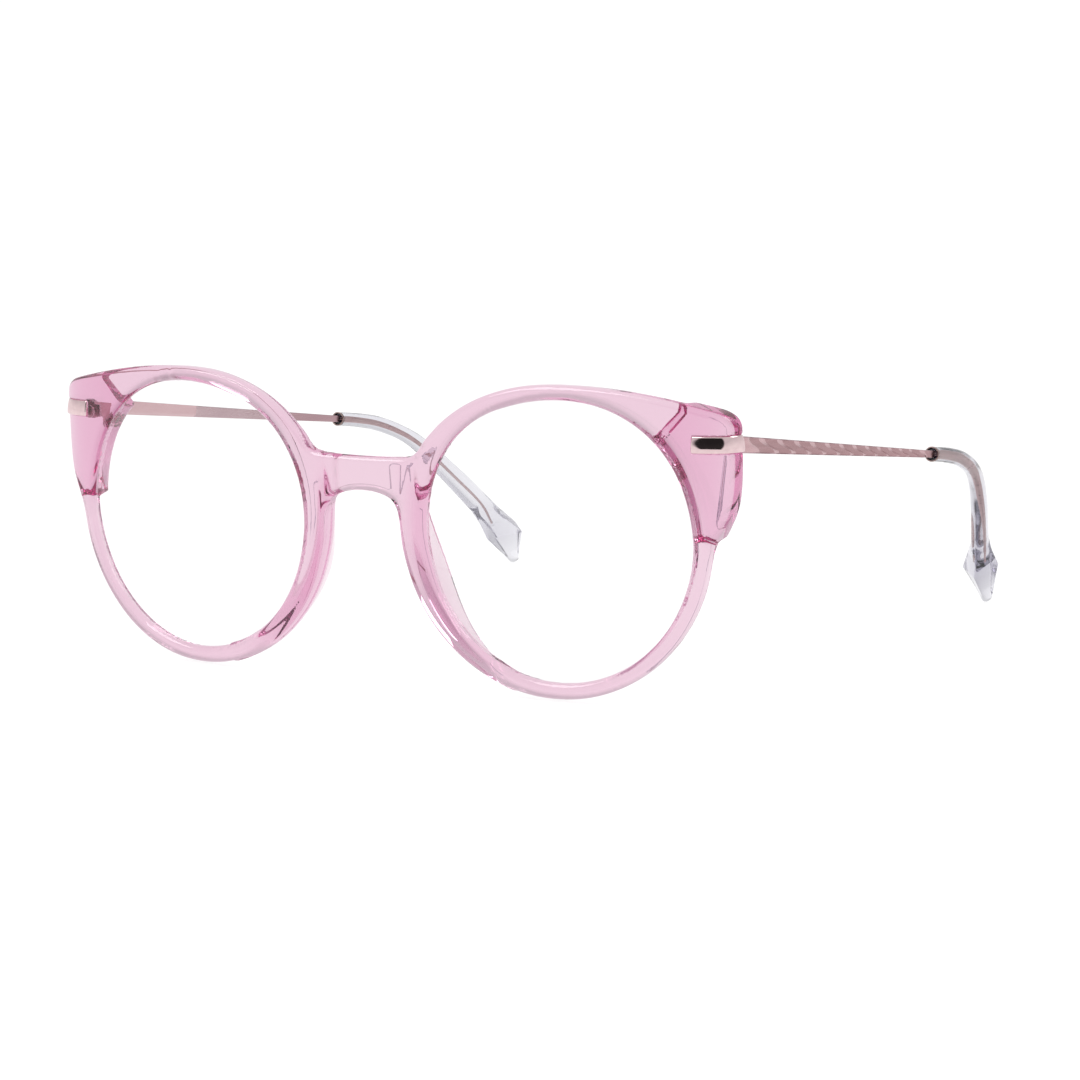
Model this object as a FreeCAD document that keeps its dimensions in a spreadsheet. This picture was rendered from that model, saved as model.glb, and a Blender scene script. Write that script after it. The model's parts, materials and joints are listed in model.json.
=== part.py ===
import FreeCAD, Part
import math
import os

# Spectacles with a translucent plastic front, round lenses with upswept outer
# corners, slim metal temples and clear end tips.  Millimetres.
# +X is the right of someone looking at the front, the front faces -Y,
# the temples run to +Y, +Z is up and the glasses stand on Z = 0.

Vec = FreeCAD.Vector
doc = FreeCAD.newDocument("spectacles")
sheet = doc.addObject("Spreadsheet::Sheet", "Dims")

DIMS = [
    ("stand_height", 26.0),      # lens centre above the table
    ("shift_y", -68.98),         # puts the middle of the bounding box on Y = 0
    ("lens_cx", 36.05),          # lens centre to the middle of the bridge
    ("front_tilt", 2.56),        # top of the front leans forward, degrees
    ("front_radius", 430.7),     # bow of the front seen from above
    ("rim_depth", 3.1),
    ("lug_face", 9.8),           # rear face of the thick outer corners
    ("lug_inner", 53.6),         # where the thick corner starts
    ("lug_floor", 1.2),          # underside of the thick corner
    ("wing_side", 66.8),
    ("corner_bow", 0.068),       # how fast the outer corners turn back
    ("edge_round", 1.1),
    ("rear_round", 0.8),
    ("lens_set", 1.05),          # lens front behind the rim front
    ("lens_thick", 1.8),
    ("bevel_out", 0.5),          # lens tongue into the rim groove
    ("bevel_thick", 0.7),
    ("fit_gap", 0.02),
    ("plaque_height", 2.8),
    ("plaque_thick", 0.9),
    ("plaque_proud", 0.3),       # how far the plaque stands out of the front
    ("plaque_mid", 16.95),
    ("plaque_inner", 60.3),
    ("pivot_x", 62.7),
    ("pivot_y", 11.4),
    ("pivot_z", 16.25),
    ("knuckle_rad", 1.3),
    ("knuckle_high", 1.35),
    ("knuckle_gap", 0.1),
    ("eye_rad", 1.2),
    ("pin_rad", 0.55),
    ("pin_gap", 0.05),
    ("screw_head_rad", 0.95),
    ("screw_head_high", 0.5),
    ("screw_slot", 0.3),
    ("leaf_thick", 1.0),
    ("leaf_left", 59.2),
    ("leaf_right", 61.6),
    ("leaf_high", 2.8),
    ("rivet_rad", 0.6),
    ("rivet_head_rad", 1.1),
    ("rivet_head_thick", 0.6),
    ("rivet_front", 6.2),
    ("rivet_one", 60.6),
    ("bar_start", 9.75),         # bar front end, along Y from the front
    ("bar_x", 65.5),
    ("bar_z", 16.88),
    ("sleeve_x", 64.3),
    ("sleeve_y", 87.2),
    ("sleeve_z", 8.16),
    ("bar_high", 2.72),
    ("bar_high_end", 1.28),
    ("bar_thick", 1.3),
    ("bar_thick_end", 1.2),
    ("facet_count", 13.0),
    ("facet_cut", 0.22),
    ("block_long", 26.0),
    ("block_thick", 1.5),
    ("sleeve_rad", 1.34),         # clear sleeve where it starts
    ("sleeve_bend", 1.48),       # and past the bend
    ("neck_lateral", 1.6),
    ("neck_sagittal", 2.55),
    ("ring_rad", 1.38),
    ("ring_thick", 0.3),
    ("wire_rad", 0.3),
    ("wire_end_rad", 0.22),
    ("bridge_back", 2.6),        # rear of the bridge, thinner than the rims
    ("bridge_half", 6.2),
    ("gem_lateral", 4.15),
    ("gem_sagittal", 4.8),
]
for n, (name, value) in enumerate(DIMS, start=1):
    sheet.set("A%d" % n, name)
    sheet.set("B%d" % n, str(value))
    sheet.setAlias("B%d" % n, name)
doc.recompute()


def dim(name):
    return float(getattr(sheet, name))


Z0 = dim("stand_height")
YS = dim("shift_y")
TILT = dim("front_tilt")
CX = dim("lens_cx")
RB = dim("front_radius")
GAP = dim("fit_gap")


def lean(shape):
    """front-local shape -> world: lean about X, then stand on the table"""
    s = shape.copy()
    s.rotate(Vec(0, 0, 0), Vec(1, 0, 0), TILT)
    s.translate(Vec(0, YS, Z0))
    return s


def local_of(x, y, z):
    """ground-frame point -> front-local point"""
    p = math.radians(TILT)
    return Vec(x, y * math.cos(p) + z * math.sin(p), z * math.cos(p) - y * math.sin(p))


def closed_curve(points):
    c = Part.BSplineCurve()
    c.interpolate(Points=points, PeriodicFlag=True)
    return Part.Face(Part.Wire([c.toShape()]))


def mirrored(shape):
    return shape.mirror(Vec(0, 0, 0), Vec(1, 0, 0))


def feature(label, shape):
    if shape.ShapeType == "Compound" and len(shape.Solids) == 1:
        shape = shape.Solids[0]
    o = doc.addObject("Part::Feature", label)
    o.Label = label
    o.Shape = shape
    return o


# ---------------------------------------------------------------- front --
def polar(table, step_add=0.0):
    pts = []
    for a, r in table:
        t = math.radians(a)
        pts.append((CX + (r + step_add) * math.cos(t), (r + step_add) * math.sin(t)))
    return pts


OPENING = [(0, 23.9), (10, 23.95), (20, 24.1), (30, 24.3), (40, 24.35), (50, 24.25),
           (60, 24.0), (70, 23.68), (80, 23.3), (90, 23.05), (100, 23.0), (110, 23.15),
           (120, 23.6), (130, 24.0), (140, 24.25), (150, 24.3), (160, 24.25),
           (170, 24.05), (180, 23.85), (190, 23.6), (200, 23.5), (210, 23.43),
           (220, 23.4), (230, 23.38), (240, 23.36), (250, 23.3), (260, 23.25),
           (270, 23.25), (280, 23.28), (290, 23.3), (300, 23.33), (310, 23.37),
           (320, 23.43), (330, 23.5), (340, 23.58), (350, 23.75)]

RIM_TOP = [(150.5, 28.5), (147, 28.35), (143, 28.05), (138, 27.75), (130, 27.2), (121, 26.6),
           (111, 26.05), (101, 25.7), (90, 25.58)]
WING = [(40.5, 25.53), (44.0, 25.35), (48.0, 24.97), (52.0, 24.43), (56.0, 23.76),
        (60.0, 22.95), (62.5, 22.38), (64.6, 21.8), (65.9, 21.05), (66.65, 19.95),
        (67.0, 18.6), (67.1, 16.0), (67.05, 12.5), (66.8, 9.5), (66.3, 7.0),
        (65.5, 4.9), (64.55, 3.0), (63.65, 1.3), (62.95, -0.6)]
RIM_LOW = [(-6, 26.55), (-12, 26.42), (-20, 26.28), (-30, 26.12), (-40, 26.02), (-50, 26.0),
           (-60, 25.98), (-70, 25.97), (-80, 25.98), (-90, 26.0), (-100, 26.12),
           (-110, 26.28), (-120, 26.5), (-130, 26.8), (-140, 27.12), (-150, 27.5),
           (-160, 27.9), (-168, 28.2), (-175, 28.55)]
BRIDGE_TOP = [(3.0, 12.34), (6.0, 12.4), (8.2, 12.5), (9.6, 12.78), (10.5, 13.3)]
BRIDGE_LOW = [(7.25, 0.5), (7.05, 2.3), (6.6, 4.0), (5.7, 5.2), (4.4, 5.85), (2.9, 6.25), (1.4, 6.45)]

right = BRIDGE_TOP + polar(RIM_TOP) + WING + polar(RIM_LOW) + BRIDGE_LOW
ring = [(0.0, 12.32)] + right + [(0.0, 6.5)] + [(-x, z) for x, z in reversed(right)]
outline = closed_curve([Vec(x, -12, z) for x, z in ring])
outline = outline.extrude(Vec(0, 34, 0))


def bow(x):
    """front surface seen from above; the outer corners turn back"""
    x = abs(x)
    y = x * x / (2 * RB)
    if x > 61.5:
        y += dim("corner_bow") * (x - 61.5) ** 2
    return y


def slab(y0, y1, z0, z1, xm=67.1):
    """bowed slab between two offsets from the front surface"""
    xs = [-xm + 2 * xm * k / 68.0 for k in range(69)]
    a = Part.BSplineCurve()
    a.interpolate([Vec(x, bow(x) + y0, z0) for x in xs])
    b = Part.BSplineCurve()
    b.interpolate([Vec(x, x * x / (2 * RB) + y1, z0) for x in reversed(xs)])
    pa, pb = a.value(a.FirstParameter), a.value(a.LastParameter)
    qa, qb = b.value(b.FirstParameter), b.value(b.LastParameter)
    w = Part.Wire([a.toShape(), Part.makeLine(pb, qa), b.toShape(), Part.makeLine(qb, pa)])
    return Part.Face(w).extrude(Vec(0, 0, z1 - z0))


def plan_block(points, z0, z1):
    w = Part.makePolygon([Vec(x, y, z0) for x, y in points + points[:1]])
    return Part.Face(w).extrude(Vec(0, 0, z1 - z0))


DEPTH = dim("rim_depth")
LUG = dim("lug_face")
LI = dim("lug_inner")
WS = dim("wing_side")
lug = plan_block([(LI - 0.7, 5.2), (LI + 0.5, LUG), (70, LUG), (70, 6.4), (60, 6.2)],
                 dim("lug_floor"), 34)
block = slab(0, DEPTH, -34, 34).fuse([lug, mirrored(lug)])
side = Part.makeBox(2 * WS, 60, 80, Vec(-WS, -20, -40))
front = outline.common(block).common(side)
hole = closed_curve([Vec(x, -12, z) for x, z in polar(OPENING)]).extrude(Vec(0, 34, 0))
front = front.cut([hole, mirrored(hole)])
front = max(front.Solids, key=lambda q: q.Volume)


def on_front(edge):
    for k in range(7):
        p = edge.valueAt(edge.FirstParameter + (edge.LastParameter - edge.FirstParameter) * k / 6.0)
        if abs(p.y - bow(p.x)) > 0.03:
            return False
    return True


def on_rear(edge):
    for k in range(7):
        p = edge.valueAt(edge.FirstParameter + (edge.LastParameter - edge.FirstParameter) * k / 6.0)
        if abs(p.y - (p.x ** 2 / (2 * RB) + DEPTH)) > 0.03 and abs(p.y - LUG) > 0.03:
            return False
    return True


def rounded(solid, test, radius, name):
    edges = [e for e in solid.Edges if test(e)]
    for r in (radius, radius * 0.8, radius * 0.6, radius * 0.4):
        try:
            out = solid.makeFillet(r, edges)
            if out.isValid() and out.Volume > 0.5 * solid.Volume:
                return out.Solids[0]
        except Exception:
            pass
    good = solid
    for e in edges:
        try:
            out = good.makeFillet(radius * 0.5, [x for x in good.Edges if x.isSame(e) or
                                                 (x.CenterOfMass - e.CenterOfMass).Length < 1e-3])
            if out.isValid():
                good = out.Solids[0]
        except Exception:
            pass
    return good


front = rounded(front, on_front, dim("edge_round"), "front edges")
front = rounded(front, on_rear, dim("rear_round"), "rear edges")
BH, BB = dim("bridge_half"), dim("bridge_back")
front = front.cut(Part.makeBox(2 * BH, 8, 26, Vec(-BH, BB, -6)))
front = max(front.Solids, key=lambda q: q.Volume)

# lenses: flat-rimmed discs with a tongue round the edge, and their groove
LS, LT = dim("lens_set"), dim("lens_thick")
BO, BT = dim("bevel_out"), dim("bevel_thick")


def lens_shape(grow, thick_grow):
    inner = closed_curve([Vec(x, -12, z) for x, z in polar(OPENING, -0.03 + grow)])
    outer = closed_curve([Vec(x, -12, z) for x, z in polar(OPENING, BO + grow)])
    mid = LS + LT / 2
    a = inner.extrude(Vec(0, 34, 0)).common(
        slab(LS - thick_grow, LS + LT + thick_grow, -30, 30, 61.2))
    b = outer.extrude(Vec(0, 34, 0)).common(
        slab(mid - BT / 2 - thick_grow, mid + BT / 2 + thick_grow, -30, 30, 61.2))
    return a, b


disc, tongue = lens_shape(0.0, 0.0)
lens = disc.fuse(tongue).Solids[0]
_, groove = lens_shape(GAP, GAP)
front = front.cut([groove, mirrored(groove)])

# metal plaque let into the front and wrapped round the outer corner
PH, PT = dim("plaque_height"), dim("plaque_thick")
PM, PI = dim("plaque_mid"), dim("plaque_inner")


def plaque_shape(out, inn, grow, end_y):
    path = [(x, bow(x)) for x in (PI, PI + 1.0, PI + 2.0, PI + 2.8)]
    cxm, cym, rad = WS - 2.6, bow(PI + 2.8) + 3.0, 2.6
    for k in range(1, 7):
        t = math.radians(-90 + 12 + k * 13)
        path.append((cxm + rad * math.cos(t), cym + 0.4 * (1 - k / 6.0) * 0 + rad * math.sin(t) * 1.12))
    path += [(WS, cym + 0.9), (WS, end_y)]
    c = Part.BSplineCurve()
    c.interpolate([Vec(x, y, 0) for x, y in path])
    oo, ii = [], []
    n = 40
    for k in range(n + 1):
        u = c.FirstParameter + (c.LastParameter - c.FirstParameter) * k / n
        p, t = c.value(u), c.tangent(u)[0]
        nrm = Vec(t.y, -t.x, 0)
        oo.append(p + nrm * out)
        ii.append(p - nrm * inn)
    a = Part.BSplineCurve()
    a.interpolate(oo)
    b = Part.BSplineCurve()
    b.interpolate(list(reversed(ii)))
    w = Part.Wire([a.toShape(), Part.makeLine(oo[-1], ii[-1]), b.toShape(),
                   Part.makeLine(ii[0], oo[0])])
    s = Part.Face(w).extrude(Vec(0, 0, PH + 2 * grow))
    s.translate(Vec(0, 0, PM - PH / 2 - grow))
    return s


plaque = plaque_shape(dim("plaque_proud"), PT - 0.12, 0.0, LUG - 0.25)
slot = plaque_shape(2.5, PT - 0.12 + GAP, GAP, LUG + 1.0)
front = front.cut([slot, mirrored(slot)])
try:
    rounded_edges = [e for e in plaque.Edges if e.BoundBox.YLength > 6]
    p2 = plaque.makeFillet(0.25, rounded_edges)
    if p2.isValid():
        plaque = p2.Solids[0]
except Exception:
    pass

# pockets for the hinge leaf and its rivets
PX, PY, PZ = dim("pivot_x"), dim("pivot_y"), dim("pivot_z")
LH = dim("leaf_high")
pocket = Part.makeBox(dim("leaf_right") - dim("leaf_left") + 2 * GAP, 4, LH + 2 * GAP,
                      Vec(dim("leaf_left") - GAP, LUG - dim("leaf_thick") + 0.2 - GAP,
                          PZ - LH / 2 - GAP))
cuts = [pocket, mirrored(pocket)]
for name in ("rivet_one",):
    x = dim(name)
    shank = Part.makeCylinder(dim("rivet_rad") + GAP, 8, Vec(x, dim("rivet_front"), PZ), Vec(0, 1, 0))
    head = Part.makeCylinder(dim("rivet_head_rad") + GAP, dim("rivet_head_thick") + 2 * GAP,
                             Vec(x, dim("rivet_front") - GAP, PZ), Vec(0, 1, 0))
    cuts += [shank, head, mirrored(shank), mirrored(head)]
front = front.cut(cuts)
front = max(front.Solids, key=lambda s: s.Volume)
half = front.common(Part.makeBox(80, 60, 80, Vec(0, -20, -40)))
half = max(half.Solids, key=lambda s: s.Volume)
front = half.fuse(mirrored(half))
front = max(front.Solids, key=lambda s: s.Volume)

# nose pads: thin fins behind the nasal side of each rim, as radial sections
# (angle round the lens, radius and depth of the rear edge)
PAD = [(167.0, 27.9, 4.6), (170.5, 27.3, 5.1), (175.0, 26.5, 5.75), (180.0, 26.0, 6.35),
       (186.0, 25.55, 7.05), (192.0, 25.35, 7.7), (199.0, 25.3, 7.95), (205.0, 25.3, 7.8),
       (211.5, 25.33, 7.35), (218.0, 25.36, 6.75), (225.0, 25.3, 6.1), (232.0, 25.2, 5.3),
       (237.0, 25.1, 4.6)]
OUTER = [(160, 29.4), (168, 29.4), (175, 29.1), (180, 28.85), (185, 28.55), (192, 28.2), (200, 27.9),
         (210, 27.5), (220, 27.12), (230, 26.8), (240, 26.5)]


def between(table, a):
    for (a1, r1), (a2, r2) in zip(table, table[1:]):
        if a1 <= a <= a2:
            return r1 + (r2 - r1) * (a - a1) / (a2 - a1)
    return table[-1][1]


sections = []
for ang, re, ye in PAD:
    ro, ri = between(OUTER, ang), between(OPENING, ang)
    base = (CX - ro) ** 2 / (2 * RB)
    prof = [(ro - 0.7, 2.7), (ro - 0.45, 3.5), (re + 0.62, ye - 0.85), (re + 0.3, ye - 0.12),
            (re - 0.25, ye - 0.1), (re - 0.75, ye - 0.75), (max(re - 1.35, ri + 0.55), 3.5),
            (max(re - 1.35, ri + 0.7), 2.95)]
    t = math.radians(ang)
    pts = [Vec(CX + r * math.cos(t), y + base, r * math.sin(t)) for r, y in prof]
    sections.append(Part.makePolygon(pts + pts[:1]))
pad = Part.makeLoft(sections, True, False)
if not pad.isValid():
    pad = Part.makeLoft(sections, True, True)
pad = pad.cut(front)
pad = max(pad.Solids, key=lambda s: s.Volume)

feature("front_frame", lean(front))
feature("lens_right", lean(lens))
feature("lens_left", lean(mirrored(lens)))
feature("nose_pad_right", lean(pad))
feature("nose_pad_left", lean(mirrored(pad)))
feature("end_plaque_right", lean(plaque))
feature("end_plaque_left", lean(mirrored(plaque)))

# ---------------------------------------------------------------- hinge --
LEAN = FreeCAD.Placement(Vec(0, YS, Z0), FreeCAD.Rotation(Vec(1, 0, 0), TILT))
ALONG_Y = FreeCAD.Rotation(Vec(1, 0, 0), -90)


def place(obj, x, y, z, rot=None):
    """placement in the leaning front frame"""
    rot = rot or FreeCAD.Rotation()
    obj.Placement = LEAN.multiply(FreeCAD.Placement(Vec(x, y, z), rot))


def bind(obj, **props):
    for prop, expr in props.items():
        obj.setExpression(prop, expr)


def fuse(label, parts):
    o = doc.addObject("Part::MultiFuse", label)
    o.Shapes = parts
    o.Label = label
    return o


def cut(label, base, tool):
    o = doc.addObject("Part::Cut", label)
    o.Base = base
    o.Tool = tool
    o.Label = label
    return o


def mirror_of(label, source):
    o = doc.addObject("Part::Mirroring", label)
    o.Source = source
    o.Normal = Vec(1, 0, 0)
    o.Base = Vec(0, 0, 0)
    o.Label = label
    return o


KH, KG = dim("knuckle_high"), dim("knuckle_gap")

plate = doc.addObject("Part::Box", "leaf_plate")
bind(plate, Length="Dims.leaf_right - Dims.leaf_left", Width="Dims.leaf_thick", Height="Dims.leaf_high")
place(plate, dim("leaf_left"), LUG - dim("leaf_thick") + 0.2, PZ - LH / 2)
barrels, arms = [], []
for sign, tag in ((1, "up"), (-1, "low")):
    zc = PZ + sign * (KH + KG)
    k = doc.addObject("Part::Cylinder", "leaf_barrel_" + tag)
    bind(k, Radius="Dims.knuckle_rad", Height="Dims.knuckle_high")
    place(k, PX, PY, zc - KH / 2)
    arm = doc.addObject("Part::Box", "leaf_arm_" + tag)
    bind(arm, Length="Dims.pivot_x - Dims.leaf_right + 0.9", Width="Dims.pivot_y - Dims.lug_face - 0.45",
         Height="Dims.knuckle_high")
    place(arm, dim("leaf_right") - 0.9, LUG + 0.02, zc - KH / 2)
    barrels += [k, arm]
leaf_body = fuse("leaf_body", [plate] + barrels)
bore = doc.addObject("Part::Cylinder", "leaf_bore")
bind(bore, Radius="Dims.pin_rad + Dims.fit_gap", Height="20")
place(bore, PX, PY, PZ - 10)
holes = []
for name in ("rivet_one",):
    h = doc.addObject("Part::Cylinder", "leaf_hole_" + name)
    bind(h, Radius="Dims.rivet_rad + Dims.fit_gap", Height="6")
    place(h, dim(name), LUG - 3, PZ, ALONG_Y)
    holes.append(h)
leaf_right = cut("hinge_leaf_right", leaf_body, fuse("leaf_holes", [bore] + holes))
leaf_left = mirror_of("hinge_leaf_left", leaf_right)

rivet_parts = []
for name in ("rivet_one",):
    s = doc.addObject("Part::Cylinder", "shank_" + name)
    bind(s, Radius="Dims.rivet_rad", Height="Dims.lug_face + 0.2 - Dims.rivet_front")
    place(s, dim(name), dim("rivet_front"), PZ, ALONG_Y)
    hd = doc.addObject("Part::Cylinder", "head_" + name)
    bind(hd, Radius="Dims.rivet_head_rad", Height="Dims.rivet_head_thick")
    place(hd, dim(name), dim("rivet_front"), PZ, ALONG_Y)
    rivet_parts += [s, hd]
rivets_right = fuse("hinge_rivets_right", rivet_parts)
rivets_left = mirror_of("hinge_rivets_left", rivets_right)

pin = doc.addObject("Part::Cylinder", "screw_pin")
bind(pin, Radius="Dims.pin_rad", Height="3 * Dims.knuckle_high + 2 * Dims.knuckle_gap")
place(pin, PX, PY, PZ - 1.5 * KH - KG)
head = doc.addObject("Part::Cylinder", "screw_head")
bind(head, Radius="Dims.screw_head_rad", Height="Dims.screw_head_high")
place(head, PX, PY, PZ + 1.5 * KH + KG + GAP)
neck = doc.addObject("Part::Cylinder", "screw_neck")
bind(neck, Radius="Dims.pin_rad", Height="0.3")
place(neck, PX, PY, PZ + 1.5 * KH + KG - 0.1)
groove_box = doc.addObject("Part::Box", "screw_groove")
bind(groove_box, Length="4", Width="Dims.screw_slot", Height="1")
place(groove_box, PX - 2, PY - dim("screw_slot") / 2, PZ + 1.5 * KH + KG + GAP + dim("screw_head_high") * 0.45)
screw_right = cut("hinge_screw_right", fuse("screw_body", [pin, neck, head]), groove_box)
screw_left = mirror_of("hinge_screw_left", screw_right)

# --------------------------------------------------------------- temples --
H = Vec(dim("bar_x"), dim("bar_start"), dim("bar_z"))
S = Vec(dim("sleeve_x"), dim("sleeve_y"), dim("sleeve_z"))
axis = (S - H).normalize()
lat = Vec(1, 0, 0)
lat = (lat - axis * lat.dot(axis)).normalize()
upv = lat.cross(axis).normalize()
LONG = (S - H).Length


def ground(shape):
    s = shape.copy()
    s.translate(Vec(0, YS, Z0))
    return s


def rect(s, half_t, half_h, shift=0.0):
    c = H + axis * s + lat * shift
    p = [c + lat * a * half_t + upv * b * half_h for a, b in ((1, 1), (1, -1), (-1, -1), (-1, 1))]
    return Part.makePolygon(p + p[:1])


bar = Part.makeLoft([rect(0, dim("bar_thick") / 2, dim("bar_high") / 2),
                     rect(LONG, dim("bar_thick_end") / 2, dim("bar_high_end") / 2)], True, True)
try:
    b2 = bar.makeFillet(0.3, [e for e in bar.Edges if e.Length > 40])
    if b2.isValid():
        bar = b2.Solids[0]
except Exception:
    pass
# slanted facets on the outer face
FC = int(dim("facet_count"))
marks = []
pos = 4.0
for k in range(FC):
    t = pos / LONG
    hh = dim("bar_high") + (dim("bar_high_end") - dim("bar_high")) * t
    pitch = 6.9 - 3.1 * t
    tt = (dim("bar_thick") + (dim("bar_thick_end") - dim("bar_thick")) * t) / 2
    c = H + axis * pos + lat * tt
    a = c - axis * (pitch * 0.42) + upv * (hh * 0.75)
    b = c + axis * (pitch * 0.42) - upv * (hh * 0.75)
    run = (b - a).normalize()
    across = run.cross(lat).normalize()
    wv = pitch * 0.16
    tri = Part.makePolygon([a + across * wv + lat * 0.3, a - lat * dim("facet_cut"),
                            a - across * wv * 0.35 + lat * 0.3, a + across * wv + lat * 0.3])
    marks.append(Part.Face(tri).extrude(b - a))
    pos += pitch * 0.93
bar_cut = bar.cut(marks)
if bar_cut.isValid() and len(bar_cut.Solids) == 1:
    bar = bar_cut.Solids[0]

# thick inner plate with the hinge eye
BL, BK = dim("block_long"), dim("block_thick")


def bar_half_h(s):
    return (dim("bar_high") + (dim("bar_high_end") - dim("bar_high")) * s / LONG) / 2


in_shift = -(dim("bar_thick") / 2 + BK / 2)
start = 3.6
plate_in = Part.makeLoft([rect(start, BK / 2, bar_half_h(start) - 0.06, in_shift),
                          rect(start + BL, BK / 2 - 0.15, bar_half_h(start + BL) - 0.06, in_shift + 0.12)],
                         True, True)
plate_in = plate_in.cut(bar)
plate_in = max(plate_in.Solids, key=lambda s: s.Volume)
try:
    low = sorted([e for e in plate_in.Edges if e.Length > 20],
                 key=lambda e: (e.CenterOfMass.x, e.CenterOfMass.z))
    p3 = plate_in.makeChamfer(0.5, [low[0]])
    if p3.isValid():
        plate_in = p3.Solids[0]
except Exception:
    pass
plate_in = ground(plate_in)
eye = lean(Part.makeCylinder(dim("eye_rad"), KH, Vec(PX, PY, PZ - KH / 2)))
web = lean(Part.makeBox(1.75, 4.2, KH, Vec(PX, PY - 0.15, PZ - KH / 2)))
eye_hole = lean(Part.makeCylinder(dim("pin_rad") + dim("pin_gap"), 6, Vec(PX, PY, PZ - 3)))
hinge_eye = plate_in.fuse([eye, web]).cut(eye_hole).cut(ground(bar))
hinge_eye = max(hinge_eye.Solids, key=lambda s: s.Volume)

# tip: clear sleeve, then the cut end; core wire inside
PATH = [Vec(S.x, S.y, S.z), Vec(64.24, 92, 7.62), Vec(64.1, 96, 7.05), Vec(63.85, 100, 6.3),
        Vec(63.5, 104, 5.2), Vec(62.98, 108, 3.75), Vec(62.15, 112, 1.72), Vec(61.05, 116, -1.25),
        Vec(59.68, 120, -4.85), Vec(58.15, 124, -8.6), Vec(56.6, 128, -12.55)]
END = Vec(53.95, 138.1, -25.66)
path = Part.BSplineCurve()
path.interpolate(PATH + [PATH[-1] + (END - PATH[-1]) * 0.33])


def circle(u, r):
    p = path.value(u)
    t = path.tangent(u)[0]
    return Part.Wire([Part.Circle(p, t, r).toShape()])


def ease(t):
    t = max(0.0, min(1.0, t))
    return t * t * (3 - 2 * t)


def oval(u):
    """sleeve section: round at the collar, deeper than wide toward the cut end"""
    p = path.value(u)
    t = path.tangent(u)[0]
    la = (Vec(1, 0, 0) - t * t.x).normalize()
    sg = la.cross(t).normalize()
    r = dim("sleeve_rad") + (dim("sleeve_bend") - dim("sleeve_rad")) * ease((p.y - 87.0) / 17.0)
    w = ease((p.y - 108.0) / 20.0)
    a = r + (dim("neck_lateral") - r) * w
    b = r + (dim("neck_sagittal") - r) * w
    n = 16
    c = Part.BSplineCurve()
    c.interpolate(Points=[p + la * a * math.cos(2 * math.pi * k / n) + sg * b * math.sin(2 * math.pi * k / n)
                          for k in range(n)], PeriodicFlag=True)
    return Part.Wire([c.toShape()])


U0, U1 = path.FirstParameter, path.LastParameter
su = path.parameter(PATH[-1])
N = 16
step_in = dim("ring_thick")
us = path.parameter(PATH[0] + axis * step_in)
tube = Part.makeLoft([oval(us + (su - us) * k / N) for k in range(N + 1)], True, False)

gax = (END - PATH[-1]).normalize()
glat = Vec(1, 0, 0)
glat = (glat - gax * glat.dot(gax)).normalize()
gsag = glat.cross(gax).normalize()


def kite(centre, corners, clip):
    """closed eight-point section: four ridge points with the ridges clipped"""
    pts = []
    for k in range(4):
        P, Q = corners[k], corners[(k + 1) % 4]
        pts.append(centre + P + (Q - P) * clip * 0.5)
        pts.append(centre + Q + (P - Q) * clip * 0.5)
    return Part.makePolygon(pts + pts[:1])


GL, GS = dim("gem_lateral"), dim("gem_sagittal")
N0 = PATH[-1] - gax * 1.0
NL, NS = dim("neck_lateral"), dim("neck_sagittal")
neck = [glat * NL, gsag * NS, glat * -NL, gsag * -NS]
ring_dirs = [glat, gsag, glat * -1.0, gsag * -1.0]
MID = Vec(54.1, 134.3, -18.4)
cross = (Vec(58.2, 133.8, -17.8) - Vec(50.0, 134.8, -19.0)).normalize()
mid_corners = [cross * GL, Vec(-0.2, 0.46, 0.33) * GS, cross * -GL, Vec(0.23, -1.1, -0.4) * GS]
low = END - gax * 0.1
gem = Part.makeLoft([kite(N0, neck, 0.5),
                     kite(MID, mid_corners, 0.12),
                     kite(low, [d * 0.75 for d in ring_dirs], 0.6)], True, True)
tip = tube.fuse(gem)
tip = max(tip.Solids, key=lambda s: s.Volume)

wire_path = path
wire_sections, cavity_sections = [], []
for k in range(N + 1):
    u = U0 + (U1 - U0) * k / N
    r = dim("wire_rad") + (dim("wire_end_rad") - dim("wire_rad")) * k / N
    wire_sections.append(circle(u, r))
    cavity_sections.append(circle(u, r + GAP))
wire = Part.makeLoft(wire_sections, True, False)
cavity = Part.makeLoft(cavity_sections, True, False)
tip = tip.cut(cavity)
tip = max(tip.Solids, key=lambda s: s.Volume)
ring_solid = Part.makeCylinder(dim("ring_rad"), step_in - 0.01, S, axis)
ring_solid = ring_solid.cut(Part.makeCylinder(dim("wire_rad") + GAP, step_in + 2, S - axis, axis))

bar_w = ground(bar)
parts_right = {
    "temple_bar": bar_w,
    "temple_hinge_plate": hinge_eye,
    "tip_collar": ground(ring_solid),
    "temple_tip": ground(tip),
    "tip_core_wire": ground(wire),
}
for name, shape in parts_right.items():
    feature(name + "_right", shape)
    feature(name + "_left", mirrored(shape))

doc.recompute()

NODES = ["front_frame", "lens_right", "lens_left", "nose_pad_right", "nose_pad_left",
         "end_plaque_right", "end_plaque_left", "hinge_leaf_right", "hinge_leaf_left",
         "hinge_rivets_right", "hinge_rivets_left", "hinge_screw_right", "hinge_screw_left",
         "temple_bar_right", "temple_bar_left", "temple_hinge_plate_right",
         "temple_hinge_plate_left", "tip_collar_right", "tip_collar_left",
         "temple_tip_right", "temple_tip_left", "tip_core_wire_right", "tip_core_wire_left"]

for o in doc.Objects:
    if "Invalid" in o.State or "Error" in o.State:
        raise RuntimeError("object in error: " + o.Label)

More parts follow.
